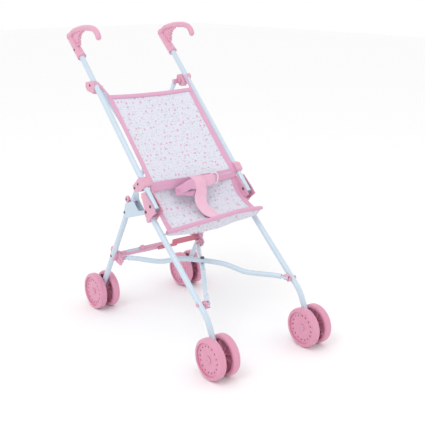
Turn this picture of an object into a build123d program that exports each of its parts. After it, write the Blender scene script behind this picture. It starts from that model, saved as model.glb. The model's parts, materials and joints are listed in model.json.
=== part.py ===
from build123d import *
import os
from math import cos, hypot, pi, radians, sin

# Doll stroller with an umbrella fold, open for use. Millimetres, +Z up, the front towards -Y.
# The origin is on the ground, at the middle of the stroller's length and width.

# Overall sizes
side_plane = 105.0          # the tubes of each side frame lie at this distance from the middle
tube_radius = 5.25
tube_wall = 0.8
cross_radius = 4.15         # the cross tubes and arms are slimmer
cross_wall = 0.7
wheel_radius = 36.2
front_axle = (-218.3, wheel_radius)
rear_axle = (164.3, wheel_radius)

# Side frame, as points (y, z)
handle_foot = (-43.0, 250.1)
handle_angle = radians(44.7)
handle_length = 372.0
leg_socket = (-28.0, 231.6)           # top end of the front leg
leg_bend = (-191.3, 94.0)
leg_bend_radius = 60.0
rear_leg_top = (45.0, 240.9)
axle_radius = 2.5

# Hook of the push grip, and the finger scallops inside it, as points (y, z)
hook_line = ((245, 532), (238, 539.5), (221, 545.5), (198, 549.8), (172, 551.4), (152, 548.6), (142, 541.5),
             (139, 536))
scallops = ((200, 544.5), (206.5, 541), (211, 536.5), (213.5, 531), (214.5, 525), (214.5, 519.5))

# Small fasteners of the side frame
grip_screw_place = (220.6, 508.4)
clip_rivets = ((287.4, 8.4), (61, 8.5), (62.5, 23))      # u along the handle and v behind it
gusset_rivet = (55.2, 224.0)
knob_centre = (48.8, 250.0)
knob_x = (side_plane - 0.4, side_plane + 5.6)

# Pivots of the folding linkage, as points (y, z)
handle_pivot = (-37.3, 255.7)         # handle tube in the hinge bracket
gusset_pivot = (-22.0, 242.3)         # rear leg's gusset in the hinge bracket
upper_pivot = (170.0, 440.0)          # upper knuckle on the handle
lower_pivot = (125.5, 128.5)          # lower knuckle on the rear leg
arm_pivot = (99.6, 113.4)             # arm knuckle on the rear leg
fork_pivot = (-170.0, 113.0)          # front fork on the front leg
latch_pivot = (114.3, 122.0)          # latch bar on the rear leg

# Two-axis knuckles: one pin along X in an ear, one pin across the end of a cross tube
pin_x = 89.0                # distance of the cross tube's pin from the middle
pin_radius = 1.5
ear_pin_radius = 2.0
running_fit = 0.05
tongue_thickness = 4.0
tongue_gap = 0.25
cheek = 1.5                 # thickness of one knuckle cheek
knuckle_base = (93.7, 96.5)
ear_x = (96.8, 99.6)
back_levels = {1: -6.9, -1: 1.9}      # each back tube's distance from the plane of their pivots
arm_radius = 4.8
arm_level = 5.1             # the lower arms pass this far above and below their middle surface
arm_rise = 13.0             # height of the hump in the middle of each lower arm
arm_hump = ((0, 0), (0.18, 0), (0.24, 0.12), (0.3, 0.52), (0.35, 0.82), (0.42, 0.97), (0.5, 1))
rivet_radius = 1.6
bolt_radius = 1.8
open_pivot_gap = 0.75       # clearance of the bolt in the arm that only passes it

# Hinge bracket and gusset, positions along X
bracket_outer = (112.3, 114.3)
bracket_inner = (95.7, 97.7)
gusset_outer = (110.8, 111.8)
gusset_inner = (98.5, 99.5)

# Latch bar
latch_x = 93.0
latch_shift = -1.5          # the bar lies in front of the rear legs' middle plane
latch_width = 8.0
latch_height = 8.0
latch_eye_radius = 3.6
latch_bar_start = 4.5
latch_cover_x = (-35.0, 8.0)
channel_end = latch_x + latch_cover_x[0] + 15.0
right_bar_end = latch_x - 36.0

# Wheels
disc_inner = 7.2            # the discs of a pair start this far from the leg's plane
disc_width = 14.6
disc_hole_ring = 23.0
disc_holes = 16
disc_ribs = 8

# Fabric
fabric_half_width = 95.0
fabric_thickness = 2.4


def along_handle(u, v=0.0):
    """Point (y, z) at u along the handle tube from its foot and v behind and below it."""
    c = cos(handle_angle)
    s = sin(handle_angle)
    return (handle_foot[0] + u * c + v * s, handle_foot[1] + u * s - v * c)


def unit(a, b):
    """Unit vector (y, z) from point a to point b."""
    length = hypot(b[0] - a[0], b[1] - a[1])
    return ((b[0] - a[0]) / length, (b[1] - a[1]) / length)


def offset(p, direction, distance):
    return (p[0] + direction[0] * distance, p[1] + direction[1] * distance)


leg_run = unit(leg_socket, leg_bend)                # down along the front leg
rear_run = unit(rear_axle, rear_leg_top)            # up along the rear leg
rear_side = (rear_run[1], -rear_run[0])             # square to the rear leg, towards the back


def at(x, p):
    """Vector at x for a point p = (y, z) of a side frame."""
    return Vector(x, p[0], p[1])


def rod(a, b, radius, end_radius=None):
    """Round bar, or a cone, between two points."""
    a = Vector(a)
    b = Vector(b)
    plane = Plane(origin=a, z_dir=b - a)
    if end_radius is None:
        return Part() + Solid.make_cylinder(radius, (b - a).length, plane)
    return Part() + Solid.make_cone(radius, end_radius, (b - a).length, plane)


def pipe(a, b, radius, wall):
    return rod(a, b, radius) - rod(a, b, radius - wall)


def pin(x0, x1, p, radius):
    """Round pin along X through the point p = (y, z)."""
    return rod(at(x0, p), at(x1, p), radius)


def plate(points, x0, x1, corner=0.0):
    """Flat plate between x0 and x1 with an outline of (y, z) points and rounded corners."""
    face = make_face(Polyline(*points, close=True))
    if corner:
        face = fillet(face.vertices(), corner)
    return Part() + extrude(Plane.YZ.offset(x0) * face, amount=x1 - x0)


def bent_tube(points, radii, radius, wall=0.0):
    """Round tube, or solid bar without a wall, along straight runs joined by arcs."""
    path = FilletPolyline(*points, radius=radii)
    start = Plane(origin=path @ 0, z_dir=path % 0)
    body = sweep(start * Circle(radius), path=path)
    if wall:
        body = body - sweep(start * Circle(radius - wall), path=path)
    return Part() + body


def save(node, shape):
    solids = shape.solids()
    shape = solids[0] if len(solids) == 1 else Compound(children=list(solids))
    export_step(shape, f"parts/{node}.step")
    print(f"{node}: {len(solids)} solid(s), {sum(s.volume for s in solids):.0f} mm3")


def save_pair(node, shape):
    """The shape is for the right side, at +X, and its mirror image is for the left."""
    save(f"{node}_right", shape)
    save(f"{node}_left", mirror(shape, about=Plane.YZ))


# ---- Handles: tube, hooked grip, screw, two clamps ----

def handle_tube():
    return pipe(at(side_plane, along_handle(0)), at(side_plane, along_handle(handle_length)),
                tube_radius, tube_wall)


def handle_grip():
    """Sleeve on the tube, an arched hook that points forwards, and a scalloped web in its corner."""
    sleeve = rod(at(side_plane, along_handle(349)), at(side_plane, along_handle(398, 4)), 8.75, 7.4)
    elbow = Pos(side_plane, 245.6, 532) * Sphere(8.6)
    path = Spline(*[at(side_plane, p) for p in hook_line])
    hook = sweep(Plane(origin=path @ 0, z_dir=path % 0) * Circle(5.4), path=path)
    tip = Pos(*at(side_plane, hook_line[-1])) * Sphere(5.4)
    web = plate([(215, 515), (236, 530), (236, 541), (196, 547), (204, 541), (211, 533), (213, 524)],
                side_plane - 1.6, side_plane + 1.6)
    body = sleeve + elbow + hook + tip + web
    for p in scallops:
        body += pin(side_plane - 3.4, side_plane + 3.4, p, 2.6)
    bore = rod(at(side_plane, along_handle(340)), at(side_plane, along_handle(handle_length + 0.5)),
               tube_radius + 0.02)
    screw_hole = pin(side_plane + 5.0, side_plane + 12.0, grip_screw_place, 2.6)
    return body - bore - screw_hole


def grip_screw():
    head = pin(side_plane + 5.4, side_plane + 7.4, grip_screw_place, 2.55)
    slot = Pos(side_plane + 7.4, *grip_screw_place) * Box(1.2, 0.6, 3.4)
    cross_slot = Pos(side_plane + 7.4, *grip_screw_place) * Box(1.2, 3.4, 0.6)
    return head - slot - cross_slot


def upper_clamp():
    """Clip round the back and the outer half of the handle tube, with the ear for the upper knuckle."""
    outline = [along_handle(u, v) for u, v in
               ((271, 6), (279, -6.4), (286, -6.4), (302, 16), (297, 24), (287, 24), (275, 15))]
    body = plate(outline, side_plane - 1.0, side_plane + 6.6, 2.0)
    ear = [along_handle(u, v) for u, v in ((273, 3), (293, 3), (300, 14), (295, 23), (279, 23), (271, 15))]
    body += plate(ear, ear_x[0], side_plane, 2.0)
    body -= rod(at(side_plane, along_handle(250)), at(side_plane, along_handle(310)), tube_radius + 0.02)
    body -= pin(ear_x[0] - 1, ear_x[1] + 1, upper_pivot, ear_pin_radius + running_fit)
    body -= pin(ear_x[1], ear_x[1] + 2.5, upper_pivot, 4.0)
    return body - pin(side_plane + 4.0, side_plane + 9.0, along_handle(*clip_rivets[0]), 2.3)


def middle_clamp():
    """Clip around the handle tube above the bracket, with an ear pointing back and down."""
    outline = [along_handle(u, v) for u, v in
               ((45, -9), (60, -10), (68, -3), (69, 27), (58, 29), (47, 12))]
    body = plate(outline, side_plane - 8.0, side_plane + 6.6, 3.5)
    body -= rod(at(side_plane, along_handle(35)), at(side_plane, along_handle(80)), tube_radius + 0.02)
    for u, v in clip_rivets[1:]:
        body -= pin(side_plane + 4.0, side_plane + 9.0, along_handle(u, v), 2.3)
    return body


def handle_fasteners():
    """Screw in the grip and the rivets of both clips."""
    body = grip_screw()
    for u, v in clip_rivets:
        body += pin(side_plane + 4.0, side_plane + 6.8, along_handle(u, v), 2.25)
        body += rod(at(side_plane + 6.8, along_handle(u, v)), at(side_plane + 7.6, along_handle(u, v)),
                    2.25, 1.4)
    return body


# ---- Front legs: bracket, tube, wheel axle ----

def hinge_bracket():
    """Two cheeks, open at the front, joined by a web behind the handle tube and a leg collar."""
    outline = [along_handle(u, v) for u, v in
               ((41, 9), (38, -1.5), (8, -4.6), (-8.5, -5), (-6, 20), (-3, 28), (9, 27), (16, 20))]
    body = plate(outline, *bracket_outer, 1.5) + plate(outline, *bracket_inner, 1.5)
    web = [along_handle(u, v) for u, v in ((2, 11.8), (37, 11.8), (37, 14.2), (2, 14.2))]
    body += plate(web, bracket_inner[0] + 0.5, bracket_outer[1] - 0.5)
    across = (-leg_run[1], leg_run[0])
    near = offset(leg_socket, leg_run, -2.0)
    far = offset(leg_socket, leg_run, 5.0)
    collar = [offset(near, across, 7.2), offset(far, across, 7.2), offset(far, across, -7.2),
              offset(near, across, -7.2)]
    body += plate(collar, bracket_inner[0], bracket_outer[1], 1.5)
    body -= rod(at(side_plane, leg_socket), at(side_plane, offset(leg_socket, leg_run, 40)),
                tube_radius + 0.02)
    for p in (handle_pivot, gusset_pivot):
        body -= pin(bracket_inner[0] - 1, bracket_inner[1] + 0.1, p, 1.6)
        body -= pin(bracket_outer[0] - 0.1, bracket_outer[1] + 1, p, 1.6)
    return body


def bracket_rivets():
    """Rivet ends in the cheeks of the bracket."""
    body = Part()
    for p in (handle_pivot, gusset_pivot):
        body += pin(bracket_outer[0], bracket_outer[1], p, 1.55)
        body += rod(at(bracket_outer[1], p), at(bracket_outer[1] + 1.4, p), 3.1, 2.0)
        body += pin(bracket_inner[0], bracket_inner[1], p, 1.55)
        body += rod(at(bracket_inner[0], p), at(bracket_inner[0] - 1.2, p), 3.0, 2.0)
    return body


def leg_hub(axle):
    """Plug at a leg's lower end, with the bore for the axle."""
    return pin(side_plane - 6.3, side_plane + 6.3, axle, 7.0)


def front_leg():
    path = [at(side_plane, p) for p in (leg_socket, leg_bend, front_axle)]
    body = bent_tube(path, leg_bend_radius, tube_radius, tube_wall)
    body += leg_hub(front_axle)
    body -= pin(side_plane - 10, side_plane + 10, front_axle, axle_radius + running_fit)
    body -= pin(side_plane - 10, side_plane + 10, fork_pivot, ear_pin_radius + running_fit)
    return body


# ---- Rear legs: tube, gusset, knob, clamp ----

def rear_leg():
    body = pipe(at(side_plane, rear_axle), at(side_plane, rear_leg_top), tube_radius, tube_wall)
    body += leg_hub(rear_axle)
    body -= pin(side_plane - 10, side_plane + 10, gusset_rivet, 1.5)
    body -= pin(side_plane, side_plane + 10, latch_pivot, 2.52)
    body -= pin(side_plane - 10, side_plane + 10, rear_axle, axle_radius + running_fit)
    return body


def gusset():
    """Pressed sheet: two leaves from the rear leg to the bracket pivot, joined at the top."""
    leaf = [(60.3, 213.4), (51.5, 242.3), (23.3, 252.3), (7.1, 237.8), (-9.7, 241.5), (-19.8, 246.2),
            (-26.3, 242.3), (-23.5, 238.2), (38.9, 217.4)]
    body = plate(leaf, *gusset_outer, 0.8) + plate(leaf, *gusset_inner, 0.8)
    tab = [(20, 236), (33, 236), (43, 262), (37, 271), (27, 271)]
    body += plate(tab, *gusset_inner, 0.8)
    top = [(25, 250.6), (36, 246.6), (36, 247.7), (25, 251.7)]
    body += plate(top, gusset_inner[0], gusset_outer[1])
    for x in (gusset_inner, gusset_outer):
        body -= pin(x[0] - 0.5, x[1] + 0.5, gusset_pivot, 2.1)
    return body - pin(gusset_inner[0] - 1, gusset_outer[1] + 1, gusset_rivet, 1.5)


def gusset_knob():
    """Rounded cap at the rear leg's top end, on a stem that plugs the tube."""
    cap = pin(*knob_x, knob_centre, 6.3)
    cap = fillet(cap.edges().filter_by(GeomType.CIRCLE), 1.8)
    stem = rod(at(side_plane, offset(rear_leg_top, rear_run, -9)), at(side_plane, rear_leg_top),
               tube_radius - tube_wall - 0.02)
    neck = rod(at(side_plane, offset(rear_leg_top, rear_run, 2.5)), at(side_plane + 1.5, knob_centre), 3.2)
    neck += rod(at(side_plane, rear_leg_top), at(side_plane, offset(rear_leg_top, rear_run, 3.5)), 4.2)
    return cap + stem + neck - pin(knob_x[1] - 1.0, knob_x[1] + 1, knob_centre, 2.3)


def rear_place(w, v):
    """Point at w behind the rear leg and v above the latch pivot, along the leg."""
    return offset(offset(latch_pivot, rear_side, w), rear_run, v)


def rear_clamp():
    """Saddle on the inner side of the rear leg, with ears for two knuckles and lugs for the latch."""
    outline = [rear_place(*p) for p in
               ((-24, -7), (-24, 6), (-8, 11), (11, 12), (19.5, 5), (19.5, -6), (6, -11), (-12, -11))]
    body = plate(outline, *ear_x, 3.0)
    saddle = [rear_place(*p) for p in ((-8, -9), (-8, 9), (8, 9), (8, -9))]
    body += plate(saddle, ear_x[0], side_plane + 1.0, 2.0)
    for w in (latch_shift - 5.8, latch_shift + 4.3):
        lug = [rear_place(*p) for p in ((w, -4.5), (w, 4.5), (w + 1.5, 4.5), (w + 1.5, -4.5))]
        body += plate(lug, latch_x - 3.6, ear_x[0] + 1.0)
    body -= rod(at(side_plane, rear_axle), at(side_plane, rear_leg_top), tube_radius + 0.02)
    for p in (lower_pivot, arm_pivot):
        body -= pin(ear_x[0] - 1, ear_x[1] + 9, p, ear_pin_radius + running_fit)
    return body - rod(at(latch_x, rear_place(-12, 0)), at(latch_x, rear_place(12, 0)), pin_radius)


def rear_leg_fasteners():
    """Pin of the latch bar, and the rivets of the gusset, the knob and the clamp."""
    low = rear_place(latch_shift - 6.6, 0)
    high = rear_place(latch_shift + 6.6, 0)
    body = rod(at(latch_x, low), at(latch_x, high), pin_radius - 0.01)
    body += pin(gusset_inner[0] - 0.8, gusset_outer[1] + 0.5, gusset_rivet, 1.48)
    body += rod(at(gusset_outer[1] + 0.02, gusset_rivet), at(gusset_outer[1] + 1.2, gusset_rivet), 2.5, 1.6)
    body += rod(at(knob_x[1] - 0.98, knob_centre), at(knob_x[1] + 0.6, knob_centre), 2.25, 1.5)
    outer = side_plane + tube_radius
    return body + rod(at(outer - 0.6, latch_pivot), at(outer + 0.8, latch_pivot), 2.5, 1.7)


# ---- Planes of the two scissor pairs ----

def scissor(p, q):
    """Middle and normal of the plane through both pivots."""
    middle = Vector(0, (p[0] + q[0]) / 2, (p[1] + q[1]) / 2)
    up = unit(q, p)
    return middle, Vector(0, -up[1], up[0])


def knuckle(side, pivot, pair, level):
    """Cheeks around a tube's tongue at the given level above the pair's plane, on a disc with a pin."""
    normal = pair[1]
    centre = Vector(side * pin_x, *pivot) + normal * level
    base_middle = Vector(side * sum(knuckle_base) / 2, *pivot) + normal * level
    height = tongue_thickness / 2 + tongue_gap
    reach = knuckle_base[0] + 0.5 - pin_x
    body = Part()
    for direction in (-1, 1):
        low = centre + normal * (direction * height)
        high = centre + normal * (direction * (height + cheek))
        body += rod(low, high, 4.6)
        flat = Plane(origin=(low + high) / 2, x_dir=(side, 0, 0), z_dir=normal)
        body += flat * (Pos(reach / 2, 0, 0) * Box(reach, 9.2, cheek))
    body += Plane(origin=base_middle, x_dir=(1, 0, 0), z_dir=normal) * Box(
        knuckle_base[1] - knuckle_base[0], 9.2, 2 * (height + cheek))
    body += rod(Vector(side * knuckle_base[0], *pivot), Vector(side * knuckle_base[1], *pivot), 5.0)
    body += rod(centre - normal * (height + 0.1), centre + normal * (height + 0.1), pin_radius)
    return body


def ear_pin(side, pivot, end_x, head_radius=3.4):
    body = rod(Vector(side * (knuckle_base[1] - 0.5), *pivot), Vector(side * (end_x + 0.4), *pivot),
               ear_pin_radius)
    body += rod(Vector(side * (end_x + 0.3), *pivot), Vector(side * (end_x + 1.5), *pivot), head_radius)
    return body


def cross_tube(lower_side, pair, p, q, level, hole, radius, rise=0.0):
    """Tube from the pivot q on one side to p on the other side, with a tongue at each end."""
    normal = pair[1]
    a = Vector(lower_side * pin_x, q[0], q[1]) + normal * level
    b = Vector(-lower_side * pin_x, p[0], p[1]) + normal * level
    run = (b - a).normalized()
    start = a + run * 8.5
    end = b - run * 8.5
    if rise:
        hump = list(arm_hump) + [(1 - share, height) for share, height in arm_hump[-2::-1]]
        path = Spline(*[start + (end - start) * share + normal * (rise * height) for share, height in hump])
    else:
        path = Line(start, end)
    plane = Plane(origin=path @ 0, z_dir=path % 0)
    body = sweep(plane * Circle(radius), path=path)
    body = body - sweep(plane * Circle(radius - cross_wall), path=path)
    for eye, inward in ((a, run), (b, -run)):
        body += rod(eye - normal * tongue_thickness / 2, eye + normal * tongue_thickness / 2, cross_radius)
        tongue = Plane(origin=eye + inward * 6.0, x_dir=run, z_dir=normal)
        body += tongue * Box(12, 2 * cross_radius, tongue_thickness)
        body -= rod(eye - normal * 4, eye + normal * 4, pin_radius + running_fit)
    crossing = (a + b) / 2 + normal * rise
    return Part() + body - rod(crossing - normal * 6, crossing + normal * 6, hole)


def back_rivet():
    """Rivet through both back tubes where they cross."""
    middle, normal = back_pair
    low = middle + normal * (back_levels[1] - cross_radius - 0.3)
    high = middle + normal * (back_levels[-1] + cross_radius + 0.3)
    body = rod(low, high, rivet_radius)
    body += rod(low, low - normal * 1.6, 4.2, 2.8)
    return body + rod(high, high + normal * 1.6, 4.2, 2.8)


def lower_bolt():
    """Bolt through both lower arms where they cross, with a washer and a nut below."""
    middle, normal = arm_pair
    top = middle + normal * (arm_rise + arm_level + arm_radius + 0.1)
    bottom = middle + normal * (arm_rise - arm_level - arm_radius - 0.5)
    body = rod(top, bottom - normal * 7, bolt_radius)
    body += rod(top, top + normal * 2.2, 4.2, 3.4)
    body += rod(bottom, bottom - normal * 1.0, 4.6)
    nut = Plane(origin=bottom - normal * 5.2, x_dir=(1, 0, 0), z_dir=normal)
    return body + extrude(nut * RegularPolygon(4.0, 6), amount=4.2)


# ---- Latch bar across the rear legs ----

def latch_plane(side):
    """Plane of one latch half: x towards the middle, z up along the rear leg, origin on its pin."""
    origin = at(side * latch_x, rear_place(latch_shift, 0))
    return Plane(origin=origin, x_dir=(-side, 0, 0), z_dir=at(0, rear_run))


def latch_bar(side, start, end, width, height, front=0.0, low=0.0):
    """Straight bar of a latch half, from start to end, measured from its pin."""
    y_sign = -side
    bar = Pos((start + end) / 2, y_sign * front, low) * Box(end - start, width, height)
    return latch_plane(side) * bar


def latch_eye(side):
    pin_line = at(side * latch_x, rear_place(latch_shift, 0))
    across = at(0, rear_side)
    eye = rod(pin_line - across * 4.0, pin_line + across * 4.0, latch_eye_radius)
    return eye + latch_bar(side, 0, latch_bar_start + 1, latch_width, 2 * latch_eye_radius)


def latch_bore(side):
    pin_line = at(side * latch_x, rear_place(latch_shift, 0))
    across = at(0, rear_side)
    return rod(pin_line - across * 9, pin_line + across * 9, pin_radius + running_fit)


def latch_left():
    """Channel, open at the top, from the left pin to just inside the cover."""
    body = latch_eye(-1) + latch_bar(-1, latch_bar_start, channel_end, latch_width, latch_height)
    body -= latch_bar(-1, 16.0, channel_end + 1, 5.6, latch_height, low=1.6)
    return Part() + body - latch_bore(-1)


def latch_strip():
    """Flat steel strip lying in the channel of the left latch half."""
    return Part() + latch_bar(-1, 16.2, channel_end, 5.5, 6.2, low=0.9)


def latch_cover():
    """Hood with a thumb knob over the middle joint of the latch bar."""
    start = latch_x + latch_cover_x[0]
    end = latch_x + latch_cover_x[1]
    body = latch_bar(-1, start, end, 9.4, 9.6)
    body = Part() + fillet(body.edges().filter_by(Axis.X), 1.4)
    body -= latch_bar(-1, start - 1, channel_end + 0.05, latch_width + 0.04, latch_height + 0.04)
    knob = latch_plane(-1) * (Pos(start - 6, 0, 7.4) * Box(9.0, 6.0, 6.4))
    knob = fillet(knob.edges(), 1.2)
    bridge = latch_bar(-1, start - 9, start + 0.5, 6.0, 1.2, low=4.7)
    return body + bridge + knob


def latch_right():
    """Bar from the right pin, with a thin blade that passes in front of the cover."""
    body = latch_eye(1) + latch_bar(1, latch_bar_start, right_bar_end, latch_width, latch_height)
    body += latch_bar(1, right_bar_end - 6, latch_x + 4.0, 1.6, latch_height, front=-6.4)
    body += latch_bar(1, right_bar_end - 6, right_bar_end, 3.0, latch_height, front=-5.0)
    return Part() + body - latch_bore(1)


# ---- Wheels ----

def wheel_disc(axle, direction):
    """Moulded disc: rounded tread, dished outer face, ring of small holes, ribs on the inner face."""
    near = side_plane + direction * disc_inner
    far = side_plane + direction * (disc_inner + disc_width)
    web_near = side_plane + direction * (disc_inner + disc_width - 5.2)
    web_far = side_plane + direction * (disc_inner + disc_width - 3.0)
    low, high = sorted((near, far))
    rim = pin(low, high, axle, wheel_radius)
    rim = fillet(rim.edges().filter_by(GeomType.CIRCLE), 4.2)
    rim -= pin(low - 1, high + 1, axle, wheel_radius - 6.5)
    body = rim + pin(*sorted((web_near, web_far)), axle, wheel_radius - 4)
    hub_far = side_plane + direction * (disc_inner + disc_width - 1.4)
    body += pin(*sorted((side_plane + direction * (disc_inner - 0.4), hub_far)), axle, 6.4)
    for k in range(disc_holes):
        angle = 2 * pi * k / disc_holes
        p = (axle[0] + disc_hole_ring * cos(angle), axle[1] + disc_hole_ring * sin(angle))
        body -= pin(low - 1, high + 1, p, 1.7)
    for k in range(disc_ribs):
        angle = 2 * pi * (k + 0.5) / disc_ribs
        radial = (cos(angle), sin(angle))
        square = (-radial[1], radial[0])
        inner = offset(axle, radial, 4)
        outer = offset(axle, radial, wheel_radius - 5)
        rib = [offset(inner, square, 0.7), offset(outer, square, 0.7), offset(outer, square, -0.7),
               offset(inner, square, -0.7)]
        edge = side_plane + direction * (disc_inner + 4.5)
        body += plate(rib, *sorted((edge, web_near + direction * 0.3)))
    body -= pin(low - 1, high + 1, axle, axle_radius)
    return body


def wheel_axle(axle):
    reach = disc_inner + disc_width - 1.8
    return pin(side_plane - reach, side_plane + reach, axle, axle_radius - 0.01)


# ---- Soft parts, as plain closed solids ----

def slab(points, thickness, half_width):
    """Sheet of even thickness across the stroller, whose side view is a line of points."""
    upper = []
    lower = []
    last = len(points) - 1
    for i, p in enumerate(points):
        a = points[max(i - 1, 0)]
        b = points[min(i + 1, last)]
        run = unit(a, b)
        normal = (-run[1], run[0])
        upper.append(offset(p, normal, thickness / 2))
        lower.append(offset(p, normal, -thickness / 2))
    return plate(upper + lower[::-1], -half_width, half_width)


# Side views of the cloth, as points (y, z)
back_line = [along_handle(u, -4.5) for u in (249, 66)] + [(-13, 270)]
seat_line = [(-17, 262), (-14, 244), (-32, 226), (-78, 218)]
lumbar_line = [(-16, 292), (-19, 274)]
lap_line = [(-23, 277), (-26, 263)]
crotch_line = [(-22, 256), (-22, 244), (-37, 231), (-75, 224)]


# ---- Build every piece ----

os.makedirs("parts", exist_ok=True)

save_pair("handle_tube", handle_tube())
save_pair("handle_grip", handle_grip())
save_pair("handle_fasteners", handle_fasteners())
save_pair("upper_clamp", upper_clamp())
save_pair("middle_clamp", middle_clamp())
save_pair("hinge_bracket", hinge_bracket())
save_pair("bracket_rivets", bracket_rivets())
save_pair("front_leg", front_leg())
save_pair("rear_leg", rear_leg())
save_pair("gusset", gusset())
save_pair("gusset_knob", gusset_knob())
save_pair("rear_clamp", rear_clamp())
save_pair("rear_leg_fasteners", rear_leg_fasteners())

back_pair = scissor(upper_pivot, lower_pivot)
arm_pair = scissor(arm_pivot, fork_pivot)
fork_head = side_plane + tube_radius
for name, side in (("right", 1), ("left", -1)):
    # the back tube named after a side has its upper end on that side
    level = back_levels[side]
    upper = knuckle(side, upper_pivot, back_pair, level)
    save(f"upper_knuckle_{name}", upper + ear_pin(side, upper_pivot, ear_x[1]))
    lower = knuckle(side, lower_pivot, back_pair, back_levels[-side])
    save(f"lower_knuckle_{name}", lower + ear_pin(side, lower_pivot, ear_x[1], 3.0))
    save(f"back_tube_{name}", cross_tube(-side, back_pair, upper_pivot, lower_pivot, level,
                                         rivet_radius + running_fit, cross_radius))
    # the lower arm named after a side has its rear end on that side
    rear = knuckle(side, arm_pivot, arm_pair, -side * arm_level)
    save(f"arm_knuckle_{name}", rear + ear_pin(side, arm_pivot, ear_x[1], 3.0))
    front = knuckle(side, fork_pivot, arm_pair, side * arm_level)
    front += rod(Vector(side * knuckle_base[1], *fork_pivot), Vector(side * 99.3, *fork_pivot), 4.0)
    save(f"front_fork_{name}", front + ear_pin(side, fork_pivot, fork_head))
    hole = bolt_radius + (0.02 if side > 0 else open_pivot_gap)
    save(f"lower_arm_{name}", cross_tube(side, arm_pair, fork_pivot, arm_pivot, -side * arm_level,
                                         hole, arm_radius, arm_rise))
save("back_rivet", back_rivet())
save("lower_bolt", lower_bolt())

save("latch_left", latch_left())
save("latch_strip", latch_strip())
save("latch_cover", latch_cover())
save("latch_right", latch_right())

for name, axle in (("front", front_axle), ("rear", rear_axle)):
    save_pair(f"{name}_wheel_outer", wheel_disc(axle, 1))
    save_pair(f"{name}_wheel_inner", wheel_disc(axle, -1))
    save_pair(f"{name}_axle", wheel_axle(axle))

save("back_panel", slab(back_line, fabric_thickness, fabric_half_width))
save("seat_panel", slab(seat_line, fabric_thickness, fabric_half_width))
save("lumbar_band", slab(lumbar_line, 2.0, fabric_half_width))
save("harness", slab(lap_line, 2.0, 60.0) + slab(crotch_line, 2.0, 16.0))
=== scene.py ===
import json
import math
import bpy
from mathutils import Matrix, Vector, noise


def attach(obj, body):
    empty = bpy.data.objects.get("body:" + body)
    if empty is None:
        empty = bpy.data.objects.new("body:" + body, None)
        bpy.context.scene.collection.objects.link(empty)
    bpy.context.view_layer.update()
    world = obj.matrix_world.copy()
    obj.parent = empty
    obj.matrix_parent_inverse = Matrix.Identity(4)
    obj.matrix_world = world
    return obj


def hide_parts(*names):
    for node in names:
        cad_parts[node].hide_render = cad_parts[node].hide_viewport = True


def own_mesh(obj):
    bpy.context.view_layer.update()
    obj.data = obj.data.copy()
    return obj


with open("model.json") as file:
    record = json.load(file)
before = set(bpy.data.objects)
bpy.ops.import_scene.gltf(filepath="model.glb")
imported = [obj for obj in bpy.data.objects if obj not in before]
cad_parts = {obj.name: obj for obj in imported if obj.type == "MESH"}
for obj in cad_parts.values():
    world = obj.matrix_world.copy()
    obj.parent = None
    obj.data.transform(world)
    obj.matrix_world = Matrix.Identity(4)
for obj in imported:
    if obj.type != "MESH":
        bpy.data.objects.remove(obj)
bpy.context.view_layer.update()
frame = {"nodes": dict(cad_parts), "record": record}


# ---- Camera ----
# From the front left, a little above the seat, with a long lens. The picture keeps its colours
# as they are, without a film look.

camera_place = Vector((-0.8407, -1.1698, 0.6331))
camera_target = Vector((0.0, -0.0668, 0.232))
camera_data = bpy.data.cameras.new("camera")
camera_data.lens = 67.5
camera_data.sensor_width = 36.0
camera = bpy.data.objects.new("camera", camera_data)
bpy.context.collection.objects.link(camera)
camera.location = camera_place
camera.rotation_euler = (camera_target - camera_place).to_track_quat("-Z", "Y").to_euler()
bpy.context.scene.camera = camera
bpy.context.scene.view_settings.view_transform = "Standard"


# ---- Tubes, gussets and latch bar ----
# Bent steel tube and pressed sheet under one coat of cool white paint. The pressed parts get a
# darker copy of the same paint, which is painted shade.

def linear(code, alpha=1.0):
    """Colour for a shader from an sRGB hex code."""
    channels = [int(code[i:i + 2], 16) / 255 for i in (0, 2, 4)]
    return [c / 12.92 if c <= 0.04045 else ((c + 0.055) / 1.055) ** 2.4 for c in channels] + [alpha]


def add(tree, kind, inputs=None, **settings):
    """New node with its settings, and its inputs set to a value or linked to a socket."""
    node = tree.nodes.new(kind)
    for name, value in settings.items():
        setattr(node, name, value)
    for name, value in (inputs or {}).items():
        if isinstance(value, bpy.types.NodeSocket):
            tree.links.new(value, node.inputs[name])
        else:
            node.inputs[name].default_value = value
    return node


def new_material(name):
    material = bpy.data.materials.new(name)
    material.use_nodes = True
    tree = material.node_tree
    return material, tree, tree.nodes["Principled BSDF"]


def mottle(tree, shader, place, scale, detail, base, light):
    """Base colour that drifts between two shades. Returns the drift, for gloss or relief."""
    drift = add(tree, "ShaderNodeTexNoise", {"Vector": place, "Scale": scale, "Detail": detail})
    colour = add(tree, "ShaderNodeMix", {"Factor": drift.outputs["Fac"]}, data_type="RGBA")
    colour.inputs["A"].default_value = linear(base)
    colour.inputs["B"].default_value = linear(light)
    tree.links.new(colour.outputs["Result"], shader.inputs["Base Color"])
    return drift


def finish(slot, material):
    """Gives every CAD node with this material slot the finished material."""
    for entry in frame["record"]["subparts"]:
        if entry["material_slot"] == slot:
            node = frame["nodes"][entry["node"]]
            node.data.materials.clear()
            node.data.materials.append(material)


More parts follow.
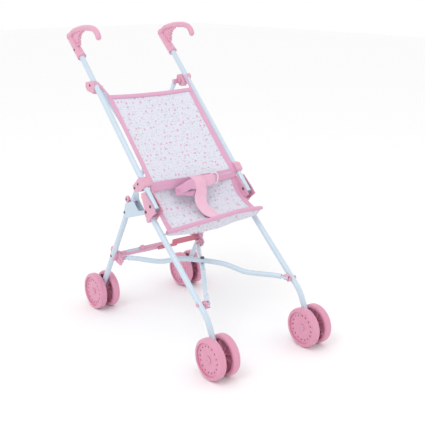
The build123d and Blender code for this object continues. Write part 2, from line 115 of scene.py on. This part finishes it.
def white_paint(name, base, shade):
    """Baked white paint on steel: slight orange peel, gloss that varies, faint scuffs."""
    material, tree, shader = new_material(name)
    place = add(tree, "ShaderNodeTexCoord").outputs["Object"]
    drift = mottle(tree, shader, place, 30.0, 4.0, base, shade)
    gloss = add(tree, "ShaderNodeMapRange", {"Value": drift.outputs["Fac"], "From Min": 0.3,
                                            "From Max": 0.7, "To Min": 0.22, "To Max": 0.36})
    tree.links.new(gloss.outputs["Result"], shader.inputs["Roughness"])
    peel = add(tree, "ShaderNodeTexNoise", {"Vector": place, "Scale": 700.0, "Detail": 1.0})
    bump = add(tree, "ShaderNodeBump", {"Height": peel.outputs["Fac"], "Strength": 0.3,
                                        "Distance": 0.00006})
    tree.links.new(bump.outputs["Normal"], shader.inputs["Normal"])
    shader.inputs["Coat Weight"].default_value = 0.4
    shader.inputs["Coat Roughness"].default_value = 0.15
    return material


finish("white_steel", white_paint("white painted steel tube", "C9D8E4", "C0D0DE"))
# The pressed parts' paint is the tube paint made darker: painted shade.
finish("white_sheet", white_paint("white pressed steel with painted shade", "C2D2DF", "BACBD9"))


# ---- Grips, clips, brackets and knuckles ----
# Pink plastic straight from the mould: slightly translucent, with a fine grain that takes the
# gloss down.

def moulded_plastic(name, base, light, roughness, glow=0.25):
    """Injection-moulded plastic: faint colour drift, spark-eroded grain, soft translucency."""
    material, tree, shader = new_material(name)
    place = add(tree, "ShaderNodeTexCoord").outputs["Object"]
    drift = mottle(tree, shader, place, 45.0, 3.0, base, light)
    grain = add(tree, "ShaderNodeTexNoise", {"Vector": place, "Scale": 2600.0, "Detail": 2.0})
    gloss = add(tree, "ShaderNodeMapRange", {"Value": drift.outputs["Fac"],
                                             "To Min": roughness - 0.05,
                                             "To Max": roughness + 0.07})
    tree.links.new(gloss.outputs["Result"], shader.inputs["Roughness"])
    bump = add(tree, "ShaderNodeBump", {"Height": grain.outputs["Fac"], "Strength": 0.25,
                                        "Distance": 0.00008})
    tree.links.new(bump.outputs["Normal"], shader.inputs["Normal"])
    shader.inputs["Subsurface Weight"].default_value = glow
    shader.inputs["Subsurface Radius"].default_value = (0.004, 0.0016, 0.0018)
    shader.inputs["Subsurface Scale"].default_value = 0.6
    shader.inputs["Coat Weight"].default_value = 0.15
    shader.inputs["Coat Roughness"].default_value = 0.3
    return material


finish("pink_plastic", moulded_plastic("pink moulded plastic", "D89DB5", "DFA9BF", 0.36))


# ---- Wheels ----
# The same kind of plastic as the clips, a shade deeper and a little duller.

finish("wheel_plastic", moulded_plastic("pink wheel plastic", "D58FAA", "DC9DB5", 0.4))


# ---- Latch cover and strip ----
# A deeper rose than the other plastic, so that the part to push is easy to find.

finish("rose_plastic", moulded_plastic("rose latch plastic", "CB6A80", "D37C90", 0.38))


# ---- Rivets, screws, bolts and axles ----
# Fasteners have a dark plating, and the wheels' axles are bright.

def plated_steel(name, base, light, roughness):
    """Plated fastener steel with turning marks and a little tarnish."""
    material, tree, shader = new_material(name)
    place = add(tree, "ShaderNodeTexCoord").outputs["Object"]
    drift = mottle(tree, shader, place, 900.0, 4.0, base, light)
    bump = add(tree, "ShaderNodeBump", {"Height": drift.outputs["Fac"], "Strength": 0.2,
                                        "Distance": 0.00005})
    tree.links.new(bump.outputs["Normal"], shader.inputs["Normal"])
    shader.inputs["Metallic"].default_value = 0.9
    shader.inputs["Roughness"].default_value = roughness
    return material


finish("dark_steel", plated_steel("dark plated rivets", "4A474E", "66636C", 0.38))
finish("plain_steel", plated_steel("bright plated axle", "A9A9B0", "C4C4CA", 0.3))


# ---- Back of the sling ----
# Printed cotton between the handle tubes, a little slack, and deepest just above the lumbar band.
# Like all the cloth below, it is parented to the body of the left handle or the left front leg.

def mm(x, y, z):
    return Vector((x, y, z)) / 1000


def weave(tree, along, across, pitch):
    """Height of a plain weave with the given thread pitch in metres, from the cloth's own UV."""
    turn = 2 * math.pi / pitch
    warp = add(tree, "ShaderNodeMath", {0: across, 1: turn}, operation="MULTIPLY")
    weft = add(tree, "ShaderNodeMath", {0: along, 1: turn}, operation="MULTIPLY")
    warp = add(tree, "ShaderNodeMath", {0: warp.outputs[0]}, operation="SINE")
    weft = add(tree, "ShaderNodeMath", {0: weft.outputs[0]}, operation="SINE")
    return add(tree, "ShaderNodeMath", {0: warp.outputs[0], 1: weft.outputs[0]},
               operation="MULTIPLY").outputs[0]


full_turn = 6.283


def motif(tree, uv, spacing, share, seed):
    """Scattered points: distance and angle from the nearest, its random numbers, and a mask."""
    shifted = add(tree, "ShaderNodeVectorMath", {0: uv, 1: (seed, seed * 0.7, 0)}, operation="ADD")
    cells = add(tree, "ShaderNodeTexVoronoi", {"Vector": shifted.outputs[0], "Scale": 1 / spacing,
                                               "Randomness": 0.85}, voronoi_dimensions="2D")
    away = add(tree, "ShaderNodeVectorMath", {0: shifted.outputs[0], 1: cells.outputs["Position"]},
               operation="SUBTRACT")
    parts = add(tree, "ShaderNodeSeparateXYZ", {0: away.outputs[0]})
    angle = add(tree, "ShaderNodeMath", {0: parts.outputs["Y"], 1: parts.outputs["X"]},
                operation="ARCTAN2")
    length = add(tree, "ShaderNodeVectorMath", {0: away.outputs[0]}, operation="LENGTH")
    dice = add(tree, "ShaderNodeSeparateColor", {0: cells.outputs["Color"]})
    shown = add(tree, "ShaderNodeMath", {0: dice.outputs[1], 1: share}, operation="LESS_THAN")
    return length.outputs["Value"], angle.outputs[0], dice, shown.outputs[0]


def petals(tree, uv, spacing, share, seed, radius, count, depth, soft):
    """Mask of small round flowers or leaves with the given number of lobes."""
    length, angle, dice, shown = motif(tree, uv, spacing, share, seed)
    turned = add(tree, "ShaderNodeMath", {0: dice.outputs[0], 1: full_turn, 2: angle},
                 operation="MULTIPLY_ADD")
    lobes = add(tree, "ShaderNodeMath", {0: turned.outputs[0], 1: float(count)},
                operation="MULTIPLY")
    wave = add(tree, "ShaderNodeMath", {0: lobes.outputs[0]}, operation="COSINE")
    reach = add(tree, "ShaderNodeMath", {0: wave.outputs[0], 1: radius * depth,
                                         2: radius * (1 - depth)}, operation="MULTIPLY_ADD")
    size = add(tree, "ShaderNodeMapRange", {"Value": dice.outputs[2], "To Min": 0.7, "To Max": 1.2})
    reach = add(tree, "ShaderNodeMath", {0: reach.outputs[0], 1: size.outputs[0]},
                operation="MULTIPLY")
    inside = add(tree, "ShaderNodeMath", {0: reach.outputs[0], 1: length}, operation="SUBTRACT")
    edge = add(tree, "ShaderNodeMapRange", {"Value": inside.outputs[0], "From Min": -soft,
                                           "From Max": soft})
    flower = add(tree, "ShaderNodeMath", {0: edge.outputs[0], 1: shown}, operation="MULTIPLY")
    return flower.outputs[0]


def over(tree, under, code, mask, amount=1.0):
    """The colour laid over what is under it, where the mask is."""
    strength = add(tree, "ShaderNodeMath", {0: mask, 1: amount}, operation="MULTIPLY")
    mix = add(tree, "ShaderNodeMix", {"Factor": strength.outputs[0]}, data_type="RGBA")
    if isinstance(under, bpy.types.NodeSocket):
        tree.links.new(under, mix.inputs["A"])
    else:
        mix.inputs["A"].default_value = under
    mix.inputs["B"].default_value = linear(code)
    return mix.outputs["Result"]


def printed_cotton(name):
    """Off-white cotton with a scattered print of small pink flowers and grey-green leaves."""
    material, tree, shader = new_material(name)
    uv = add(tree, "ShaderNodeTexCoord").outputs["UV"]
    parts = add(tree, "ShaderNodeSeparateXYZ", {0: uv})
    colour = over(tree, linear("DCDDE9"), "9DB7AD",
                  petals(tree, uv, 0.0062, 0.62, 3.0, 0.0019, 2, 0.55, 0.0004), 0.7)
    colour = over(tree, colour, "A9B3C4",
                  petals(tree, uv, 0.0052, 0.55, 7.0, 0.0012, 3, 0.4, 0.0004), 0.5)
    flowers = petals(tree, uv, 0.0118, 0.60, 11.0, 0.0027, 5, 0.28, 0.0004)
    colour = over(tree, colour, "E09DB8", flowers, 0.7)
    hearts = petals(tree, uv, 0.0118, 0.60, 11.0, 0.0013, 5, 0.15, 0.0004)
    colour = over(tree, colour, "C4708F", hearts, 0.6)
    colour = over(tree, colour, "DDA9BF",
                  petals(tree, uv, 0.0066, 0.40, 17.0, 0.0011, 3, 0.2, 0.0003), 0.75)
    tree.links.new(colour, shader.inputs["Base Color"])
    thread = weave(tree, parts.outputs["Y"], parts.outputs["X"], 0.0007)
    crease = add(tree, "ShaderNodeTexNoise", {"Vector": uv, "Scale": 34.0, "Detail": 3.0})
    fine = add(tree, "ShaderNodeBump", {"Height": thread, "Strength": 0.5, "Distance": 0.00012})
    bump = add(tree, "ShaderNodeBump", {"Height": crease.outputs["Fac"], "Strength": 0.6,
                                        "Distance": 0.0022, "Normal": fine.outputs["Normal"]})
    tree.links.new(bump.outputs["Normal"], shader.inputs["Normal"])
    shader.inputs["Roughness"].default_value = 0.85
    shader.inputs["Sheen Weight"].default_value = 0.35
    return material


cotton = printed_cotton("printed cotton")
edge_x = 0.0965                 # half the sling's width
cloth_thickness = 0.0008
tape_thickness = 0.0016


def cloth(name, surface, across, along, size, thickness, material, body):
    """Sheet whose point at (s, t) is surface(s, t), with UV in metres and a thickness."""
    bpy.ops.mesh.primitive_grid_add(x_subdivisions=across, y_subdivisions=along, size=1,
                                    calc_uvs=True)
    piece = bpy.context.object
    piece.name = name
    piece.data.name = name
    layer = piece.data.uv_layers.active.data
    for loop in piece.data.loops:
        corner = piece.data.vertices[loop.vertex_index].co
        layer[loop.index].uv = ((corner.x + 0.5) * size[0], (corner.y + 0.5) * size[1])
    for vertex in piece.data.vertices:
        vertex.co = surface(vertex.co.x + 0.5, vertex.co.y + 0.5)
    piece.data.materials.append(material)
    thicken = piece.modifiers.new("thickness", "SOLIDIFY")
    thicken.thickness = thickness
    thicken.offset = 0
    soften = piece.modifiers.new("soft", "SUBSURF")
    soften.levels = 1
    soften.render_levels = 1
    bpy.ops.object.modifier_apply(modifier="thickness")
    bpy.ops.object.modifier_apply(modifier="soft")
    bpy.ops.object.shade_smooth()
    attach(piece, body)
    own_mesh(piece)
    return piece


back_top = mm(0, 130, 429)
back_foot = mm(0, -13, 285)
back_run = (back_top - back_foot).length
behind = Vector((0, 0.7034, -0.7108))


def back_surface(s, t):
    side = 2 * s - 1
    slack = 0.0105 * (1 - side * side) * math.sin(math.pi * min(1.0, (1 - t) * 0.62 + 0.12))
    pull = 0.0012 * math.sin(9.0 * side + 3.0 * t) * math.sin(math.pi * t) * (1 - t)
    crumple = 0.0016 * noise.noise(Vector((side * 2.4, t * 3.6, 0.3)))
    fade = min(1.0, 6 * t, 6 * (1 - t)) * (1 - side ** 8)
    point = back_foot.lerp(back_top, t) + behind * (slack + (pull + crumple) * fade)
    point.x = edge_x * side * (1 - 0.006 * math.sin(math.pi * t))
    return point


back = cloth("sling_back", back_surface, 44, 60, (2 * edge_x, back_run), cloth_thickness,
             cotton, "handle_left")
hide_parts("back_panel")


# ---- Seat of the sling ----
# From behind the lumbar band it drops, sags between the legs and comes up to the front roll.
# The sides and the middle each follow their own line.

def smooth_line(points, t):
    """Point at t from 0 to 1 on a smooth line through the points."""
    last = len(points) - 1
    place = min(max(t, 0.0), 1.0) * last
    i = min(int(place), last - 1)
    f = place - i
    before = points[max(i - 1, 0)]
    after = points[min(i + 2, last)]
    a = points[i]
    b = points[i + 1]
    return 0.5 * (2 * a + (b - before) * f + (2 * before - 5 * a + 4 * b - after) * f * f
                  + (3 * a - before - 3 * b + after) * f * f * f)


seat_run = 0.108                # length of the flat seat cloth, from band to roll
roll_line = [mm(-100, -66, 213), mm(-60, -79, 221), mm(-6, -82, 225.5), mm(51, -83, 229.5),
             mm(105, -83, 227)]
seat_side = [mm(0, -11, 284), mm(0, -14, 271), mm(0, -25, 254), mm(0, -40, 236), mm(0, -62, 216)]
seat_middle = [mm(0, -7, 281), mm(0, -3, 262), mm(0, -10, 245), mm(0, -34, 231), mm(0, -75, 219)]


def seat_surface(s, t):
    side = 2 * s - 1
    share = (1 - abs(side) ** 2.6)
    point = smooth_line(seat_side, t).lerp(smooth_line(seat_middle, t), share)
    front = smooth_line(roll_line, s)
    point = point.lerp(front, max(0.0, (t - 0.55) / 0.45) ** 1.6)
    folds = 0.0017 * noise.noise(Vector((side * 3.1, t * 4.2, 4.0)))
    folds += 0.0010 * math.sin(16 * side * (1 - 0.4 * t) + 2.0) * math.sin(math.pi * t)
    fade = min(1.0, 5 * t, 5 * (1 - t)) * (1 - side ** 8)
    point += Vector((0, -0.45, 0.9)) * folds * fade
    point.x = edge_x * side
    return point


seat = cloth("sling_seat", seat_surface, 44, 36, (2 * edge_x, seat_run), cloth_thickness,
             cotton, "front_leg_left")
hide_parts("seat_panel")


# ---- Hem and side bindings ----
# Folded tape on the top edge and both long edges of the back and the seat. It lies just proud
# of the cloth and follows it.

def woven_tape(name, base, light):
    """Folded binding tape: a fine rib across it, soft sheen, uneven dye."""
    material, tree, shader = new_material(name)
    uv = add(tree, "ShaderNodeTexCoord").outputs["UV"]
    parts = add(tree, "ShaderNodeSeparateXYZ", {0: uv})
    mottle(tree, shader, uv, 60.0, 4.0, base, light)
    thread = weave(tree, parts.outputs["Y"], parts.outputs["X"], 0.0009)
    fine = add(tree, "ShaderNodeBump", {"Height": thread, "Strength": 0.6, "Distance": 0.00016})
    pucker = add(tree, "ShaderNodeTexNoise", {"Vector": uv, "Scale": 90.0, "Detail": 2.0})
    bump = add(tree, "ShaderNodeBump", {"Height": pucker.outputs["Fac"], "Strength": 0.5,
                                        "Distance": 0.001, "Normal": fine.outputs["Normal"]})
    tree.links.new(bump.outputs["Normal"], shader.inputs["Normal"])
    shader.inputs["Roughness"].default_value = 0.75
    shader.inputs["Sheen Weight"].default_value = 0.5
    return material


tape = woven_tape("pink woven tape", "D99CBD", "E1ABC8")


def bound_edge(name, s0, s1, t0, t1, surface, body, along=40):
    """Tape laid just proud of a stretch of the sling, from (s0, t0) to (s1, t1)."""
    def over_edge(s, t):
        sa = s0 + (s1 - s0) * s
        ta = t0 + (t1 - t0) * t
        return surface(sa, ta) - behind * 0.0009 * math.sin(math.pi * (0.15 + 0.7 * s))

    width = (surface(s1, t0) - surface(s0, t0)).length or 0.008
    length = max((surface(s0, t1) - surface(s0, t0)).length, 0.008)
    piece = cloth(name, over_edge, 8, along, (width, length), tape_thickness, tape, body)
    return piece


for name, s0, s1 in (("left", -0.004, 0.048), ("right", 0.952, 1.004)):
    bound_edge(f"back_binding_{name}", s0, s1, 0.0, 1.0, back_surface, "handle_left", 60)
    bound_edge(f"seat_binding_{name}", s0, s1, 0.04, 0.99, seat_surface, "front_leg_left", 40)


def hem_surface(s, t):
    """Top hem: the tape goes over the upper edge."""
    turn = math.pi * (0.08 + 0.84 * t)
    point = back_surface(s, 0.985)
    back_dir = (back_top - back_foot).normalized()
    return point + back_dir * (0.0045 * math.cos(turn)) - behind * (0.0022 * math.sin(turn))


hem = cloth("top_hem", hem_surface, 60, 10, (2 * edge_x, 0.012), 0.0012, tape, "handle_left")


# ---- Front roll and the cloth below it ----
# A bound roll along the seat's front edge, higher on the right, with a shallow flap of the
# seat's cloth under it.

def roll_surface(s, t):
    turn = 2 * math.pi * t
    centre = smooth_line(roll_line, s)
    swell = 0.0036 + 0.0004 * noise.noise(Vector((s * 14, 0, 9)))
    pinch = 1 - 0.35 * (abs(2 * s - 1) ** 14)
    return centre + Vector((0, math.cos(turn), 1.1 * math.sin(turn))) * swell * pinch


roll = cloth("front_roll", roll_surface, 70, 14, (0.205, 0.023), 0.0006, tape,
             "front_leg_left")


def flap_surface(s, t):
    centre = smooth_line(roll_line, s)
    depth = 0.004 + 0.008 * s + 0.015 * math.sin(math.pi * s) ** 0.8
    ripple = 0.0016 * noise.noise(Vector((s * 9, t * 1.5, 2.0))) * t
    return centre + Vector((0, 0.002 + 0.010 * t + ripple, -0.002 - depth * t))


flap = cloth("front_flap", flap_surface, 60, 10, (0.2, 0.02), cloth_thickness, cotton,
             "front_leg_left")


# ---- Lumbar band, lap belt and crotch strap ----
# The band crosses the sling where back and seat meet. The belt's two ends and the crotch strap
# lie over it, and a thin white elastic loop holds the belt on the right.

def strip(name, edge_a, edge_b, along, thickness, material, body):
    """Ribbon between two edges, each a list of points in millimetres."""
    a = [mm(*p) for p in edge_a]
    b = [mm(*p) for p in edge_b]
    length = sum((q - p).length for p, q in zip(a, a[1:]))
    width = sum((q - p).length for p, q in zip(a, b)) / len(a)

    def surface(s, t):
        return smooth_line(a, t).lerp(smooth_line(b, t), s)

    piece = cloth(name, surface, 7, along, (width, length), thickness, material, body)
    return piece


strap_cloth = woven_tape("pale pink strap", "EBB4CE", "F0C0D7")
cord_white = woven_tape("white elastic loop", "F4F2F6", "FAF8FB")


def band_surface(s, t):
    side = 2 * s - 1
    sag = 1 - side * side
    y = -14.5 + 3.0 * t + 5.0 * sag
    z = 273.5 + 18.0 * t - 2.6 * sag + 0.9 * math.sin(7 * side) * (1 - t)
    return mm(97.5 * side, y - 1.0 * math.sin(5 * side + 1), z)


band = cloth("lumbar_strap", band_surface, 60, 10, (0.195, 0.018), 0.0014, tape, "handle_left")
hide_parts("lumbar_band")

crotch = strip("crotch_strap",
               [(-15, -15, 291), (-8, -21, 281), (-6, -25, 268), (-14, -31, 255), (-20, -46, 243),
                (-20, -68, 232), (-8, -85, 226)],
               [(14, -15, 290), (20, -20, 279), (18, -26, 262), (12, -33, 249), (8, -48, 238),
                (11, -70, 229), (17, -85, 228)], 60, tape_thickness, strap_cloth, "front_leg_left")
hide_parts("harness")

strip("belt_left_upper",
      [(-47, -17, 275), (-34, -22, 282), (-18, -22, 288), (-6, -20, 283)],
      [(-46, -18, 260), (-33, -26, 266), (-18, -27, 270), (0, -23, 266)], 26, tape_thickness, tape,
      "handle_left")
strip("belt_left_fold",
      [(-47, -18, 272), (-44, -22, 270), (-36, -23, 268), (-22, -23, 266), (-4, -23, 266)],
      [(-48, -19, 259), (-40, -24, 262), (-30, -25, 260), (-16, -25, 256), (-3, -25, 259)], 30,
      tape_thickness, tape, "handle_left")
strip("belt_right",
      [(12, -17, 289), (24, -21, 291), (36, -20, 290), (45, -16, 284)],
      [(22, -20, 267), (30, -22, 268), (38, -20, 269), (46, -16, 270)], 24,
      tape_thickness, strap_cloth, "handle_left")

loop_radius = 0.0011
loop_path = [mm(31, -21, 292), mm(39, -23, 293), mm(46, -22, 287), mm(48, -20, 278),
             mm(46, -18, 269)]


def loop_surface(s, t):
    centre = smooth_line(loop_path, t)
    turn = 2 * math.pi * s
    around = Vector((math.cos(turn), -0.4 * math.sin(turn), math.sin(turn)))
    return centre + around * loop_radius


white_loop = cloth("belt_loop", loop_surface, 8, 40, (0.007, 0.04), 0.0003, cord_white,
                   "handle_left")


# ---- Corner straps ----
# Short tapes that hang the sling's top corners from the upper clamps, one on each side.

for name, side in (("left", -1), ("right", 1)):
    strip(f"corner_strap_{name}",
          [(side * 104, 168, 455.5), (side * 102.5, 156, 452), (side * 99, 142, 441),
           (side * 96, 129, 430)],
          [(side * 101.5, 168, 455.5), (side * 99, 156.5, 452), (side * 95, 142, 441),
           (side * 91.5, 129, 430)],
          20, 0.0014, tape, "handle_left")


# ---- Studio floor and light ----
# A pale floor under a white sky, a soft key from the upper left and a weak fill from the right.

bpy.ops.mesh.primitive_plane_add(size=14, location=(0, 2.5, -0.0004))
floor = bpy.context.object
floor.name = "studio_floor"
floor_paint, floor_tree, floor_shader = new_material("studio white")
floor_shader.inputs["Base Color"].default_value = linear("FBFBFB")
floor_shader.inputs["Roughness"].default_value = 0.8
floor.data.materials.append(floor_paint)

world = bpy.data.worlds.new("studio")
bpy.context.scene.world = world
world.use_nodes = True
world.node_tree.nodes["Background"].inputs["Color"].default_value = linear("FFFFFF")
world.node_tree.nodes["Background"].inputs["Strength"].default_value = 1.0


def lamp(name, location, target, size, power):
    """Square area lamp turned to its target."""
    data = bpy.data.lights.new(name, "AREA")
    data.size = size
    data.energy = power
    piece = bpy.data.objects.new(name, data)
    bpy.context.collection.objects.link(piece)
    piece.location = location
    piece.rotation_euler = (Vector(target) - Vector(location)).to_track_quat("-Z", "Y").to_euler()


stroller_middle = (0, 0, 0.25)
lamp("key", (-1.3, -0.6, 2.0), stroller_middle, 1.0, 9)
lamp("fill", (1.6, -1.4, 1.2), stroller_middle, 1.4, 1.5)
